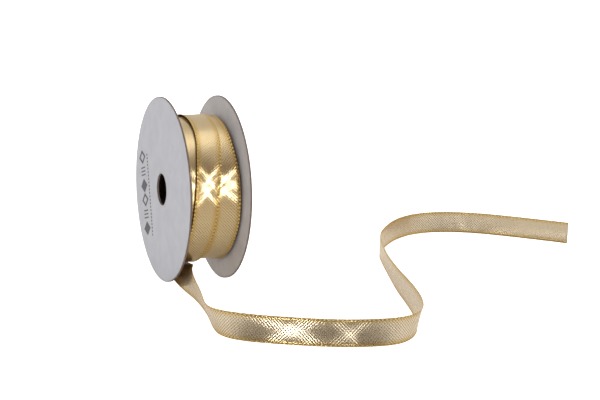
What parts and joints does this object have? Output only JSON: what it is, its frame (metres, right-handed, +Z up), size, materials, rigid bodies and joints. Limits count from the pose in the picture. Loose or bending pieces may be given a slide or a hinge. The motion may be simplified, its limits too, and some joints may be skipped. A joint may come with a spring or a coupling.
{
  "type": "ribbon spool",
  "caption": "Narrow metallic gold ribbon wound on a spool of lined card discs, with its free end twisted and laid on its edge in an S.",
  "frame": {"origin": "on the supporting surface, under the middle of the spool, measured without the ribbon's free end", "axes": "+X along the spool's axis from the printed disc to the plain one and towards the side the free end runs to; +Z up; -Y the side the free end leaves the underside of the winding"},
  "size_m": [0.207, 0.1619, 0.075],
  "materials": {
    "printed_paper": "coated, matt, with grey print",
    "plain_paper": "coated, matt",
    "grey_board": "cut edge",
    "core_paper": "spiral-wound, matt",
    "tape": "clear film",
    "gold_ribbon": "metallic woven taffeta with looped gold edges"
  },
  "bodies": {
    "laid_end": {"ribbon_tail": "gold_ribbon"},
    "spool": {"front_outer_paper": "printed_paper", "front_board": "grey_board", "front_inner_paper": "plain_paper", "rear_outer_paper": "printed_paper", "rear_board": "grey_board", "rear_inner_paper": "plain_paper", "winding_core": "core_paper", "start_tape": "tape", "wound_ribbon": "gold_ribbon", "outer_lap": "gold_ribbon"}
  },
  "joints": [
    {"name": "spool_turn", "type": "hinge", "parent": "laid_end", "child": "spool", "pos_m": [0, 0, 0.0375], "axis": [1, 0, 0], "continuous": true}
  ]
}
